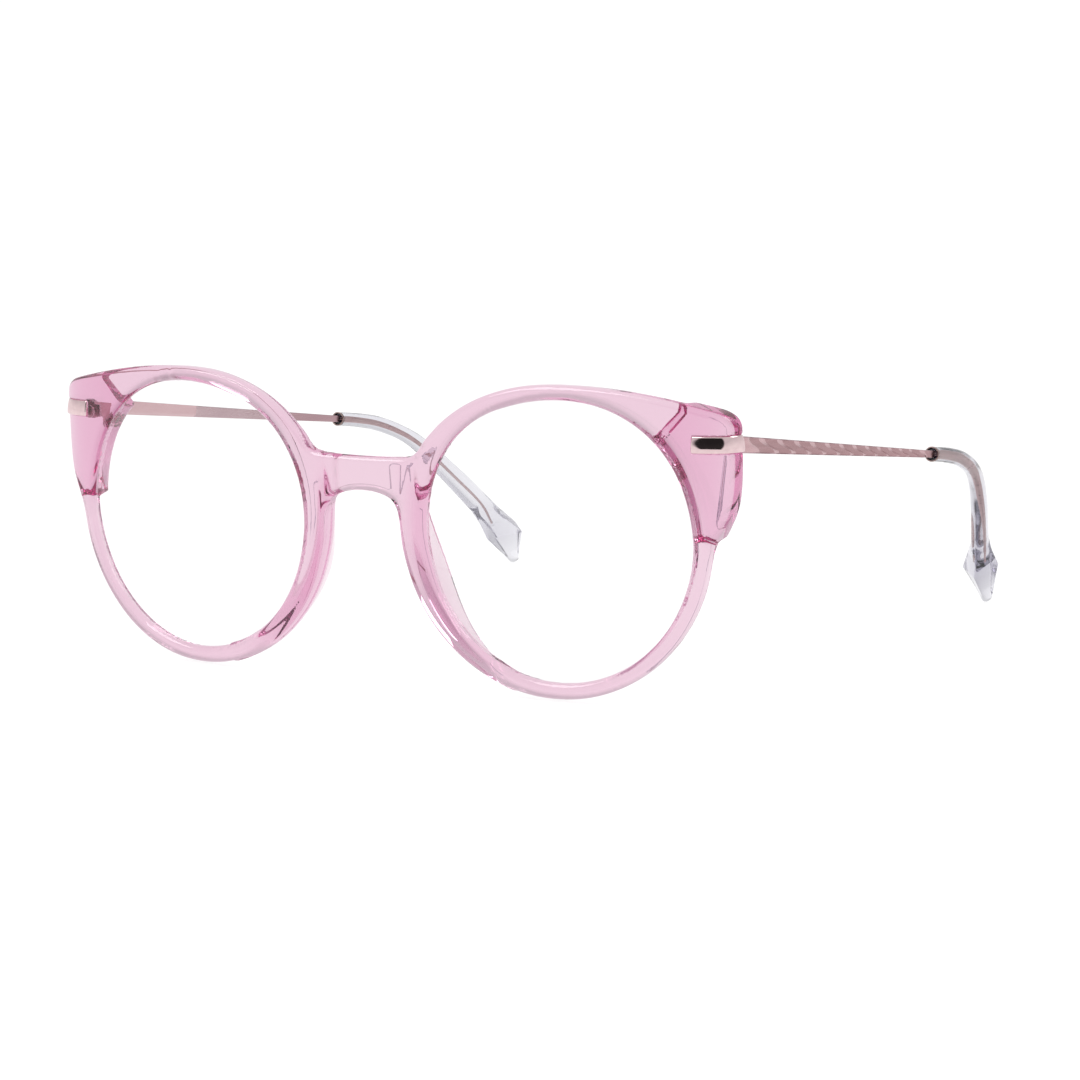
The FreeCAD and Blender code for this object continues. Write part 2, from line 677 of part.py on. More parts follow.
os.makedirs("parts", exist_ok=True)
for label in NODES:
    obj = doc.getObjectsByLabel(label)[0]
    s = obj.Shape
    if s.isNull() or not s.isValid() or not s.Solids:
        raise RuntimeError("bad shape: " + label)
    b = s.BoundBox
    print("%-26s solids %d vol %8.2f  x %7.2f %7.2f  y %7.2f %7.2f  z %6.2f %6.2f" % (
        label, len(s.Solids), s.Volume, b.XMin, b.XMax, b.YMin, b.YMax, b.ZMin, b.ZMax))
    s.exportStep("parts/%s.step" % label)
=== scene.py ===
import bpy
import bmesh
import json
import math
import numpy as np
from mathutils import Matrix, Vector

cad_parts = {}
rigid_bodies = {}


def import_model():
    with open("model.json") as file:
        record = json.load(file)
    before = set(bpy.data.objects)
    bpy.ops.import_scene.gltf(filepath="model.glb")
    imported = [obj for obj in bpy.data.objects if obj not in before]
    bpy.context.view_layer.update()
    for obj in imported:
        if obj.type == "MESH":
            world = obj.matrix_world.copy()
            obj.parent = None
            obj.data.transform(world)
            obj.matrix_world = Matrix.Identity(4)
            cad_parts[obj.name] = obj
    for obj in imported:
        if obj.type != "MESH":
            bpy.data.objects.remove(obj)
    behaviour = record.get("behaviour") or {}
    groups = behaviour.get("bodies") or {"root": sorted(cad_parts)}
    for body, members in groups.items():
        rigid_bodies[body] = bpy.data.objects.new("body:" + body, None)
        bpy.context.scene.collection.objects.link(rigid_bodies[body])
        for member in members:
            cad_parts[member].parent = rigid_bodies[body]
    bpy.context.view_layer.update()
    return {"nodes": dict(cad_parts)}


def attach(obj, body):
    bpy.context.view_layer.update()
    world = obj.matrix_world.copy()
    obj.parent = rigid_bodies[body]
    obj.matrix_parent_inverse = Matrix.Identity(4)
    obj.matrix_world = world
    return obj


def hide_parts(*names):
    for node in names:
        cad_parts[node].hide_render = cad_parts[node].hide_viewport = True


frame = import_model()
FLOOR_GLOW = 0.86


MM = 0.001

# the leaning frame of the front, the same numbers as the CAD sheet -------
TILT = math.radians(2.56)
YS, Z0 = -68.98, 26.0
CX, RB, DEPTH, LUG = 36.05, 430.7, 3.1, 9.8
LUG_FLOOR, SIDE = 1.2, 66.8
ct, st = math.cos(TILT), math.sin(TILT)


def lean(p):
    """front-local millimetres -> row frame metres"""
    p = np.asarray(p, float)
    out = np.empty_like(p)
    out[:, 0] = p[:, 0]
    out[:, 1] = p[:, 1] * ct - p[:, 2] * st + YS
    out[:, 2] = p[:, 1] * st + p[:, 2] * ct + Z0
    return out * MM


def lean_dir(n):
    out = np.empty_like(n)
    out[:, 0] = n[:, 0]
    out[:, 1] = n[:, 1] * ct - n[:, 2] * st
    out[:, 2] = n[:, 1] * st + n[:, 2] * ct
    return out


# -------------------------------------------------------------- outlines --
OPENING = [(0, 23.9), (10, 23.95), (20, 24.1), (30, 24.3), (40, 24.35), (50, 24.25),
           (60, 24.0), (70, 23.68), (80, 23.3), (90, 23.05), (100, 23.0), (110, 23.15),
           (120, 23.6), (130, 24.0), (140, 24.25), (150, 24.3), (160, 24.25),
           (170, 24.05), (180, 23.85), (190, 23.6), (200, 23.5), (210, 23.43),
           (220, 23.4), (230, 23.38), (240, 23.36), (250, 23.3), (260, 23.25),
           (270, 23.25), (280, 23.28), (290, 23.3), (300, 23.33), (310, 23.37),
           (320, 23.43), (330, 23.5), (340, 23.58), (350, 23.75)]
RIM_TOP = [(150.5, 28.5), (147, 28.35), (143, 28.05), (138, 27.75), (130, 27.2), (121, 26.6),
           (111, 26.05), (101, 25.7), (90, 25.58)]
WING = [(40.5, 25.53), (44.0, 25.35), (48.0, 24.97), (52.0, 24.43), (56.0, 23.76),
        (60.0, 22.95), (62.5, 22.38), (64.6, 21.8), (65.9, 21.05), (66.65, 19.95),
        (66.8, 18.5), (66.8, 16.0), (66.78, 12.5), (66.6, 9.5), (66.2, 7.0),
        (65.5, 4.9), (64.55, 3.0), (63.65, 1.3), (62.95, -0.6)]
RIM_LOW = [(-6, 26.55), (-12, 26.42), (-20, 26.28), (-30, 26.12), (-40, 26.02), (-50, 26.0),
           (-60, 25.98), (-70, 25.97), (-80, 25.98), (-90, 26.0), (-100, 26.12),
           (-110, 26.28), (-120, 26.5), (-130, 26.8), (-140, 27.12), (-150, 27.5),
           (-160, 27.9), (-168, 28.2), (-175, 28.55)]
BRIDGE_TOP = [(3.0, 12.34), (6.0, 12.4), (8.2, 12.5), (9.6, 12.78), (10.5, 13.3)]
BRIDGE_LOW = [(7.25, 0.5), (7.05, 2.3), (6.6, 4.0), (5.7, 5.2), (4.4, 5.85), (2.9, 6.25), (1.4, 6.45)]


def polar(table):
    return [(CX + r * math.cos(math.radians(a)), r * math.sin(math.radians(a))) for a, r in table]


def smooth_loop(points, per=10):
    """closed centripetal Catmull-Rom through the points"""
    P = np.array(points, float)
    n = len(P)
    out = []
    for i in range(n):
        p0, p1, p2, p3 = P[(i - 1) % n], P[i], P[(i + 1) % n], P[(i + 2) % n]
        t0 = 0.0
        t1 = t0 + np.linalg.norm(p1 - p0) ** 0.5
        t2 = t1 + np.linalg.norm(p2 - p1) ** 0.5
        t3 = t2 + np.linalg.norm(p3 - p2) ** 0.5
        for k in range(per):
            t = t1 + (t2 - t1) * k / per
            a1 = (t1 - t) / (t1 - t0) * p0 + (t - t0) / (t1 - t0) * p1
            a2 = (t2 - t) / (t2 - t1) * p1 + (t - t1) / (t2 - t1) * p2
            a3 = (t3 - t) / (t3 - t2) * p2 + (t - t2) / (t3 - t2) * p3
            b1 = (t2 - t) / (t2 - t0) * a1 + (t - t0) / (t2 - t0) * a2
            b2 = (t3 - t) / (t3 - t1) * a2 + (t - t1) / (t3 - t1) * a3
            out.append((t2 - t) / (t2 - t1) * b1 + (t - t1) / (t2 - t1) * b2)
    return np.array(out)


right_pts = BRIDGE_TOP + polar(RIM_TOP) + WING + polar(RIM_LOW) + BRIDGE_LOW
ring_pts = [(0.0, 12.32)] + right_pts + [(0.0, 6.5)] + [(-x, z) for x, z in reversed(right_pts)]
OUT_LOOP = smooth_loop(ring_pts, 9)
OPEN_LOOP = smooth_loop(polar(OPENING), 20)

H2 = 0.2
GX = np.arange(0.0, 68.61, H2)
GZ = np.arange(-28.0, 28.01, H2)


def signed_field(loop):
    """signed distance to a closed loop on the (GX, GZ) grid, negative inside"""
    a = loop
    b = np.roll(loop, -1, axis=0)
    px, pz = np.meshgrid(GX, GZ, indexing="ij")
    px, pz = px.ravel(), pz.ravel()
    keep = np.maximum(a[:, 0], b[:, 0]) > -6.0
    best = np.full(px.size, 1e9)
    inside = np.zeros(px.size, bool)
    for (ax, az), (bx, bz), k in zip(a, b, keep):
        if az != bz:
            xi = ax + (pz - az) * (bx - ax) / (bz - az)
            inside ^= ((az > pz) != (bz > pz)) & (px < xi)
        if not k:
            continue
        dx, dz = bx - ax, bz - az
        t = np.clip(((px - ax) * dx + (pz - az) * dz) / (dx * dx + dz * dz + 1e-12), 0, 1)
        d = (px - ax - t * dx) ** 2 + (pz - az - t * dz) ** 2
        np.minimum(best, d, out=best)
    s = np.sqrt(best)
    s[inside] *= -1
    return s.reshape(len(GX), len(GZ))


F_OUT = signed_field(OUT_LOOP)
F_OPEN = signed_field(OPEN_LOOP)


def weights(f):
    f2, f3 = f * f, f * f * f
    return (-0.5 * f3 + f2 - 0.5 * f, 1.5 * f3 - 2.5 * f2 + 1, -1.5 * f3 + 2 * f2 + 0.5 * f, 0.5 * f3 - 0.5 * f2)


def look(field, x, z):
    u = np.clip((x - GX[0]) / H2, 1, len(GX) - 3.001)
    v = np.clip((z - GZ[0]) / H2, 1, len(GZ) - 3.001)
    i, j = u.astype(int), v.astype(int)
    wu, wv = weights(u - i), weights(v - j)
    out = 0
    for a in range(4):
        row = 0
        for b in range(4):
            row = row + field[i + a - 1, j + b - 1] * wv[b]
        out = out + row * wu[a]
    return out


def bow(x):
    return x * x / (2 * RB) + 0.00607 * np.maximum(x - 60.0, 0) ** 3


def r_and(a, b, r):
    return np.minimum(-r, np.maximum(a, b)) + np.hypot(np.maximum(a + r, 0), np.maximum(b + r, 0))


def r_or(a, b, r):
    return np.maximum(r, np.minimum(a, b)) - np.hypot(np.maximum(r - a, 0), np.maximum(r - b, 0))


def interp(table, a):
    t = np.array(table, float)
    return np.interp(a, t[:, 0], t[:, 1])


def ease(t):
    t = np.clip(t, 0, 1)
    return t * t * (3 - 2 * t)


PAD = [(158.0, 28.8, 2.6), (163.0, 28.3, 3.4), (167.0, 27.7, 4.35), (170.5, 27.1, 5.05), (175.0, 26.5, 5.75),
       (180.0, 26.0, 6.35), (186.0, 25.6, 7.05), (192.0, 25.4, 7.65), (199.0, 25.32, 7.92), (205.0, 25.3, 7.75),
       (211.5, 25.33, 7.35), (218.0, 25.36, 6.75), (225.0, 25.3, 6.0), (232.0, 25.2, 5.1),
       (238.0, 25.1, 4.3), (244.0, 25.0, 3.4), (250.0, 25.0, 2.6)]
OUTER = [(150, 29.9), (160, 29.4), (168, 29.3), (175, 29.1), (180, 28.85), (185, 28.55), (192, 28.2), (200, 27.9),
         (210, 27.5), (220, 27.12), (230, 26.8), (240, 26.5), (252, 26.3)]
PM, PH, PI = 16.95, 2.8, 60.3


def shell(ax, y, z, so, si):
    """outline walls and the front surface, without the back"""
    slope = ax / RB + 0.0182 * np.maximum(ax - 60.0, 0) ** 2
    df = (bow(ax) - y) / np.sqrt(1 + slope * slope)
    walls = np.maximum(so, -si)
    return r_and(walls, df, 1.15)


def front_sdf(x, y, z, so=None, si=None):
    ax = np.abs(x)
    if so is None:
        so, si = look(F_OUT, ax, z), look(F_OPEN, ax, z)
    a = shell(ax, y, z, so, si)
    base = ax * ax / (2 * RB)
    thin = 0.5 * (1 - ease((ax - 4.6) / 2.6))
    # how near the lens opening, from 0 at the outer edge to 1 at the opening
    inner = ease((1.2 - so - si) / 2.4)
    # the thick outer corner rises from the rim over a short ramp: a wedge of the
    # ring, from just under level up to 46 degrees
    wedge = r_and(-0.7193 * (ax - CX) + 0.6947 * z, LUG_FLOOR - z, 2.0)
    q = np.clip((0.15 - wedge) / 0.9, 0, 1)
    rise = LUG - base - DEPTH
    back = base + DEPTH - thin + rise * ease(q)
    steep = rise * 6 * q * (1 - q) / 0.9
    high = ease(q)
    r1 = 1.2 + 0.5 * inner
    r2 = 0.6 + 1.2 * np.maximum(inner, 1 - ease((ax - 58.0) / 6.0))
    tall = np.sqrt(1 + steep * steep)
    f = r_and(a, (y - back) / tall, (r1 + (r2 - r1) * high) / tall)
    # nose pads: fins that leave the back of the nasal rim
    dx = ax - CX
    r = np.hypot(dx, z)
    th = np.degrees(np.arctan2(z, dx)) % 360.0
    ye = interp([(p[0], p[2]) for p in PAD], th) + base * 0.6
    re = interp([(p[0], p[1]) for p in PAD], th)
    ro = interp(OUTER, th)
    s = np.clip((y - 2.6) / np.maximum(ye - 2.6, 0.5), 0, 1.2)
    s = s * (0.65 + 0.35 * s)
    outer = (ro - 0.35) + (re + 0.45 - (ro - 0.35)) * s
    thick = 2.3 + (1.15 - 2.3) * s
    fin = r_and(np.maximum(r - outer, outer - thick - r), y - ye, 0.5)
    fin = np.maximum(fin, 2.4 - y)
    fin = np.maximum(fin, np.maximum(157.0 - th, th - 251.0) * 0.4)
    f = r_or(f, fin, 1.2)
    # the lens groove
    mid = base + 1.95
    groove = (si - 0.56 * (1 - np.abs(y - mid) / 0.62)) * 0.72
    f = np.maximum(f, -groove)
    # the slot for the metal plaque
    slot = np.maximum(np.maximum(PI - 0.03 - ax, np.abs(z - PM) - PH / 2 - 0.03), y - LUG - 2)
    slot = np.maximum(slot, -(a + 0.78))
    f = np.maximum(f, -slot)
    return f


def plaque_sdf(x, y, z):
    ax = np.abs(x)
    so, si = look(F_OUT, ax, z), look(F_OPEN, ax, z)
    # the plaque follows the corner at its own height all through
    so_m, si_m = look(F_OUT, ax, np.full_like(z, PM)), look(F_OPEN, ax, np.full_like(z, PM))
    a = shell(ax, y, z * 0 + PM, so_m, si_m)
    box = r_and(np.maximum(PI - ax, y - (LUG - 0.3)), np.abs(z - PM) - PH / 2, 0.3)
    crown = 0.36 - 0.19 * (z - PM) - 0.16 * ((z - PM) / (PH / 2)) ** 2
    return r_and(r_and(a - crown, box, 0.3), -(a + 0.75), 0.1)


# ---------------------------------------------------------- surface nets --
def surface_nets(V, xs, ys, zs):
    S = V < 0
    nx, ny, nz = V.shape
    cells = np.zeros((nx - 1, ny - 1, nz - 1), np.uint8)
    for i in (0, 1):
        for j in (0, 1):
            for k in (0, 1):
                cells += S[i:nx - 1 + i, j:ny - 1 + j, k:nz - 1 + k]
    act = (cells > 0) & (cells < 8)
    ids = np.full(act.shape, -1, np.int64)
    I, J, K = np.nonzero(act)
    ids[I, J, K] = np.arange(len(I))
    acc = np.zeros((len(I), 3))
    cnt = np.zeros(len(I))
    corners = [(0, 0, 0), (1, 0, 0), (0, 1, 0), (1, 1, 0), (0, 0, 1), (1, 0, 1), (0, 1, 1), (1, 1, 1)]
    edges = [(0, 1), (2, 3), (4, 5), (6, 7), (0, 2), (1, 3), (4, 6), (5, 7), (0, 4), (1, 5), (2, 6), (3, 7)]
    for a, b in edges:
        ca, cb = np.array(corners[a]), np.array(corners[b])
        va = V[I + ca[0], J + ca[1], K + ca[2]]
        vb = V[I + cb[0], J + cb[1], K + cb[2]]
        m = (va < 0) != (vb < 0)
        t = np.where(m, va / np.where(m, va - vb, 1.0), 0)
        p = ca[None, :] + t[:, None] * (cb - ca)[None, :]
        acc[m] += p[m]
        cnt[m] += 1
    loc = acc / cnt[:, None]
    g = np.stack([I, J, K], 1) + loc
    verts = np.stack([np.interp(g[:, 0], np.arange(nx), xs), np.interp(g[:, 1], np.arange(ny), ys),
                      np.interp(g[:, 2], np.arange(nz), zs)], 1)
    quads = []
    # edges along x
    a, b = S[:-1, 1:-1, 1:-1], S[1:, 1:-1, 1:-1]
    for flip, m in ((False, a & ~b), (True, ~a & b)):
        i, j, k = np.nonzero(m)
        j, k = j + 1, k + 1
        q = np.stack([ids[i, j - 1, k - 1], ids[i, j, k - 1], ids[i, j, k], ids[i, j - 1, k]], 1)
        quads.append(q[:, ::-1] if flip else q)
    a, b = S[1:-1, :-1, 1:-1], S[1:-1, 1:, 1:-1]
    for flip, m in ((False, a & ~b), (True, ~a & b)):
        i, j, k = np.nonzero(m)
        i, k = i + 1, k + 1
        q = np.stack([ids[i - 1, j, k - 1], ids[i - 1, j, k], ids[i, j, k], ids[i, j, k - 1]], 1)
        quads.append(q[:, ::-1] if flip else q)
    a, b = S[1:-1, 1:-1, :-1], S[1:-1, 1:-1, 1:]
    for flip, m in ((False, a & ~b), (True, ~a & b)):
        i, j, k = np.nonzero(m)
        i, j = i + 1, j + 1
        q = np.stack([ids[i - 1, j - 1, k], ids[i, j - 1, k], ids[i, j, k], ids[i - 1, j, k]], 1)
        quads.append(q[:, ::-1] if flip else q)
    return verts, np.concatenate(quads)


def gradient(f, p, h=0.02):
    g = np.empty_like(p)
    for k in range(3):
        d = np.zeros(3)
        d[k] = h
        a, b = p + d, p - d
        g[:, k] = (f(a[:, 0], a[:, 1], a[:, 2]) - f(b[:, 0], b[:, 1], b[:, 2])) / (2 * h)
    return g


def pull(f, p, rounds=4, cap=0.15):
    for _ in range(rounds):
        v = f(p[:, 0], p[:, 1], p[:, 2])
        g = gradient(f, p)
        s = v / np.maximum((g * g).sum(1), 0.2)
        p = p - g * np.clip(s, -cap, cap)[:, None]
    n = gradient(f, p)
    n /= np.maximum(np.linalg.norm(n, axis=1), 1e-9)[:, None]
    return p, n


def mesh_object(name, verts, faces, normals=None, smooth=True):
    me = bpy.data.meshes.new(name)
    me.from_pydata([tuple(map(float, v)) for v in verts], [], [tuple(int(i) for i in f) for f in faces])
    me.validate()
    me.update()
    if smooth:
        me.polygons.foreach_set("use_smooth", [True] * len(me.polygons))
    if normals is not None and len(me.vertices) == len(normals):
        me.normals_split_custom_set_from_vertices([tuple(map(float, n)) for n in normals])
    o = bpy.data.objects.new(name, me)
    bpy.context.scene.collection.objects.link(o)
    return o


HX, HY = 0.4, 0.25
xs = np.arange(-67.2, 67.21, HX)
ys = np.arange(-0.66, 11.2, HY)
zs = np.arange(-27.2, 27.21, HX)
ix = np.rint(np.abs(xs) / H2).astype(int)
iz = np.rint((zs - GZ[0]) / H2).astype(int)
so2 = F_OUT[np.ix_(ix, iz)]
si2 = F_OPEN[np.ix_(ix, iz)]
X, Y, Z = np.meshgrid(xs, ys, zs, indexing="ij")
SO = np.broadcast_to(so2[:, None, :], X.shape)
SI = np.broadcast_to(si2[:, None, :], X.shape)
V = front_sdf(X, Y, Z, SO, SI)
fv, fq = surface_nets(V, xs, ys, zs)
fv, fn = pull(front_sdf, fv)
front = mesh_object("front_shell", lean(fv), fq, lean_dir(fn))
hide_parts("front_frame", "nose_pad_right", "nose_pad_left")
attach(front, "front")

for sgn, side in ((1, "right"), (-1, "left")):
    h = 0.16
    px = np.arange(59.6, 68.2, h)
    py = np.arange(2.2, 10.6, h)
    pz = np.arange(PM - 2.2, PM + 2.2, h)
    A, B, C = np.meshgrid(px, py, pz, indexing="ij")
    W = plaque_sdf(A.ravel(), B.ravel(), C.ravel()).reshape(A.shape)
    pv, pq = surface_nets(W, px, py, pz)
    pv, pn = pull(plaque_sdf, pv, 4, 0.08)
    pv = pv * [sgn, 1, 1]
    pn = pn * [sgn, 1, 1]
    if sgn < 0:
        pq = pq[:, ::-1]
    o = mesh_object("plaque_" + side, lean(pv), pq, lean_dir(pn))
    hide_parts("end_plaque_" + side)
    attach(o, "front")

# --------------------------------------------------------------- temples --
HB = np.array([65.5, 9.75, 16.88])
SB = np.array([64.3, 87.2, 8.16])
AX = (SB - HB) / np.linalg.norm(SB - HB)
LAT = np.array([1.0, 0, 0]) - AX * AX[0]
LAT /= np.linalg.norm(LAT)
UPV = np.cross(LAT, AX)
UPV /= np.linalg.norm(UPV)
LONG = float(np.linalg.norm(SB - HB))


def world(p):
    return (np.asarray(p) + [0, YS, Z0]) * MM


def bar_mesh():
    """slim bar whose outer face is cut in slanting facets; rows follow the cuts"""
    # section: outer face from low to high, then round the top, the inner face and back
    ww = [(1.0, v) for v in np.linspace(-0.86, 0.86, 15)]
    ww += [(0.93, 0.95), (0.78, 1.0), (0.0, 1.0), (-0.78, 1.0), (-0.93, 0.95)]
    ww += [(-1.0, v) for v in np.linspace(0.86, -0.86, 7)]
    ww += [(-0.93, -0.95), (-0.78, -1.0), (0.0, -1.0), (0.78, -1.0), (0.93, -0.95)]
    m = len(ww)
    marks, pos = [], 2.0
    while pos < LONG - 2.0:
        marks.append(pos)
        pos += 6.9 - 3.1 * min(pos / LONG, 1.0)
    marks.append(LONG - 1.0)
    # stations along the bar, with the depth of the cut and which face it lies on
    st = [(0.0, 0.0, 0), (0.25, 0.0, 0), (0.8, 0.0, 0), (1.4, 0.0, 0)]
    for a, b in zip(marks[:-1], marks[1:]):
        for k in range(5):
            st.append((a + (b - a) * 0.42 * k / 5, k / 5.0, 0))
        for k in range(6):
            st.append((a + (b - a) * (0.42 + 0.58 * k / 6), 1 - k / 6.0, 1))
    st += [(LONG - 1.0, 0.0, 0), (LONG - 0.5, 0.0, 0), (LONG - 0.2, 0.0, 0), (LONG, 0.0, 0)]
    rows = []
    for s0, tri, _ in st:
        fade = ease(min(s0, LONG - s0) / 8.0)
        pitch = 6.9 - 3.1 * s0 / LONG
        cap = 0.93 if s0 in (0.0, LONG) else 1.0
        for cu, w in ww:
            s = s0 - (w * 0.46 + 0.16 * math.sin(math.pi * w)) * pitch * fade
            t = min(max(s / LONG, 0), 1)
            hh = (2.72 + (1.28 - 2.72) * t) / 2
            tt = (1.3 + (1.2 - 1.3) * t) / 2
            u, v = cu * tt * cap, w * hh * cap
            if cu > 0.99:
                u -= (0.4 - 0.14 * t) * tri * (1 - 0.25 * w) * fade
            rows.append(HB + AX * s + LAT * u + UPV * v)
    faces, kinds = [], []
    for i in range(len(st) - 1):
        for k in range(m):
            a, b = i * m + k, i * m + (k + 1) % m
            faces.append((a, b, b + m, a + m))
            # kind 1, the falling half of each cut, gets the darker copy of the metal, painted shade
            kinds.append(st[i][2] if k < 14 else 2)
    faces.append(tuple(range(m - 1, -1, -1)))
    faces.append(tuple((len(st) - 1) * m + k for k in range(m)))
    return np.array(rows), faces, kinds + [2, 2]


bv, bf, bk = bar_mesh()
PATH = [(64.3, 87.2, 8.16), (64.24, 92, 7.62), (64.1, 96, 7.05), (63.85, 100, 6.3),
        (63.5, 104, 5.2), (62.98, 108, 3.75), (62.15, 112, 1.72), (61.05, 116, -1.25),
        (59.68, 120, -4.85), (58.15, 124, -8.6), (56.6, 128, -12.55)]
END = np.array([53.95, 138.1, -25.66])


def resample(points, step):
    P = np.array(points, float)
    P = np.vstack([2 * P[0] - P[1], P, 2 * P[-1] - P[-2]])
    out = []
    for i in range(1, len(P) - 2):
        p0, p1, p2, p3 = P[i - 1:i + 3]
        for k in range(24):
            t = k / 24.0
            out.append(0.5 * ((2 * p1) + (-p0 + p2) * t + (2 * p0 - 5 * p1 + 4 * p2 - p3) * t * t +
                              (-p0 + 3 * p1 - 3 * p2 + p3) * t ** 3))
    out.append(P[-2])
    out = np.array(out)
    s = np.r_[0, np.cumsum(np.linalg.norm(np.diff(out, axis=0), axis=1))]
    u = np.linspace(0, s[-1], int(s[-1] / step) + 1)
    return np.stack([np.interp(u, s, out[:, k]) for k in range(3)], 1), u


def tip_mesh():
    """clear sleeve, flattening toward the back, that ends in a four-ridged kite"""
    m = 64
    line, u = resample(PATH, 0.5)
    gax = END - line[-1]
    glong = np.linalg.norm(gax)
    gax /= glong
    mid = np.array([54.1, 134.3, -18.4])
    lat_c = np.array([58.2, 133.8, -17.8]) - np.array([50.0, 134.8, -19.0])
    lat_c /= np.linalg.norm(lat_c)
    secs = []
    start = 0.26
    n = len(line)
    for i in range(n):
        if u[i] < start:
            continue
        t = line[min(i + 1, n - 1)] - line[max(i - 1, 0)]
        t /= np.linalg.norm(t)
        la = np.array([1.0, 0, 0]) - t * t[0]
        la /= np.linalg.norm(la)
        sg = np.cross(la, t)
        r = 1.34 + 0.14 * ease((line[i][1] - 87.0) / 17.0)
        q = ease((line[i][1] - 108.0) / 20.0)
        a = r + (1.6 - r) * q
        b = r + (2.55 - r) * q
        secs.append((line[i], la * a, sg * b, -la * a, -sg * b, 0.0))
    # merge into the kite
    c0 = secs[-1]
    corners = [lat_c * 4.15, np.array([-0.2, 0.46, 0.33]) * 4.8, -lat_c * 4.15, np.array([0.23, -1.1, -0.4]) * 4.8]
    k = 10
    for i in range(1, k + 1):
        w = i / k
        cen = c0[0] * (1 - w) + mid * w
        cs = [c0[1 + j] * (1 - w) + corners[j] * w for j in range(4)]
        secs.append((cen, *cs, ease(w * 1.8)))
    low = END - gax * 0.1
    la = np.array([1.0, 0, 0]) - gax * gax[0]
    la /= np.linalg.norm(la)
    sg = np.cross(la, gax)
    ends = [la * 0.95, sg * 0.95, -la * 0.95, -sg * 0.95]
    for i in range(1, k + 1):
        w = i / k * 0.93
        cen = mid * (1 - w) + low * w
        cs = [corners[j] * (1 - w) + ends[j] * w for j in range(4)]
        secs.append((cen, *cs, 1.0 - 0.75 * ease((w - 0.6) / 0.35)))
    last = secs[-1]
    for d, sc in ((0.35, 0.86), (0.62, 0.62), (0.8, 0.3)):
        secs.append((last[0] + gax * d, *[c * sc for c in last[1:5]], 0.15))
    rows = []
    for cen, c1, c2, c3, c4, w in secs:
        cs = [c1, c2, c3, c4]
        for k2 in range(m):
            f = 4.0 * k2 / m
            j = int(f) % 4
            f -= int(f)
            a, b = cs[j], cs[(j + 1) % 4]
            arc = a * math.cos(f * math.pi / 2) + b * math.sin(f * math.pi / 2)
            lin = a * (1 - f) + b * f
            # small clip on each ridge
            if f < 0.04:
                lin = a * 0.96 + b * 0.04 * 0.5
            rows.append(cen + arc * (1 - w) + lin * w)
    ns = len(secs)
    faces = []
    for i in range(ns - 1):
        for k2 in range(m):
            a, b = i * m + k2, i * m + (k2 + 1) % m
            faces.append((a, b, b + m, a + m))
    faces.append(tuple(range(m - 1, -1, -1)))
    faces.append(tuple((ns - 1) * m + k2 for k2 in range(m)))
    return np.array(rows), faces


def ring_mesh():
    """slim metal ring round the end of the clear sleeve"""
    prof = []
    for cs, cr in ((0.06, 1.32), (0.25, 1.32), (0.25, 1.2), (0.06, 1.2)):
        a0 = {(0.06, 1.32): 90, (0.25, 1.32): 0, (0.25, 1.2): -90, (0.06, 1.2): 180}[(cs, cr)]
        for k in range(5):
            a = math.radians(a0 + 90 * (1 - k / 4.0)) if a0 != 180 else math.radians(270 - 90 * k / 4.0)
            prof.append((cs + 0.055 * math.cos(a), cr + 0.055 * math.sin(a)))
    m, rows, faces = 72, [], []
    for k in range(m):
        w = 2 * math.pi * k / m
        d = LAT * math.cos(w) + UPV * math.sin(w)
        for ps, pr in prof:
            rows.append(SB + AX * ps + d * pr)
    n = len(prof)
    for k in range(m):
        for j in range(n):
            a, b = k * n + j, k * n + (j + 1) % n
            c, d2 = ((k + 1) % m) * n + (j + 1) % n, ((k + 1) % m) * n + j
            faces.append((a, b, c, d2))
    return np.array(rows), faces


tv, tf = tip_mesh()
rv, rf = ring_mesh()
for sgn, side in ((1, "right"), (-1, "left")):
    flip = (lambda fs: fs) if sgn > 0 else (lambda fs: [tuple(reversed(f)) for f in fs])
    o = mesh_object("bar_" + side, world(bv * [sgn, 1, 1]), flip(bf))
    o.data.set_sharp_from_angle(angle=math.radians(9))
    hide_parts("temple_bar_" + side)
    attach(o, "temple_" + side)
    t = mesh_object("tip_" + side, world(tv * [sgn, 1, 1]), flip(tf))
    t.data.set_sharp_from_angle(angle=math.radians(24))
    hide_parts("temple_tip_" + side)
    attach(t, "temple_" + side)
    g = mesh_object("ring_" + side, world(rv * [sgn, 1, 1]), flip(rf))
    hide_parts("tip_collar_" + side)
    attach(g, "temple_" + side)

# low hinge: the leaf and its screw keep their places, with flatter outer barrels
def low_hinge(name):
    src = frame["nodes"][name]
    me = src.data.copy()
    n = len(me.vertices)
    p = np.empty(n * 3)
    me.vertices.foreach_get("co", p)
    p = p.reshape(-1, 3) / MM
    y, z = p[:, 1] - YS, p[:, 2] - Z0
    yl, zl = y * ct + z * st, -y * st + z * ct
    d = zl - 16.25
    d = np.sign(d) * np.where(np.abs(d) > 0.78, 0.78 + (np.abs(d) - 0.78) * 0.46, np.abs(d))
    q = lean(np.stack([p[:, 0], yl, 16.25 + d], 1))
    me.vertices.foreach_set("co", q.ravel())
    me.update()
    o = bpy.data.objects.new("low_" + name, me)
    bpy.context.scene.collection.objects.link(o)
    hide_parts(name)
    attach(o, "front")
    return o


LOW = [(low_hinge("hinge_leaf_" + sd), "leaf") for sd in ("right", "left")]
LOW += [(low_hinge("hinge_screw_" + sd), "screw") for sd in ("right", "left")]

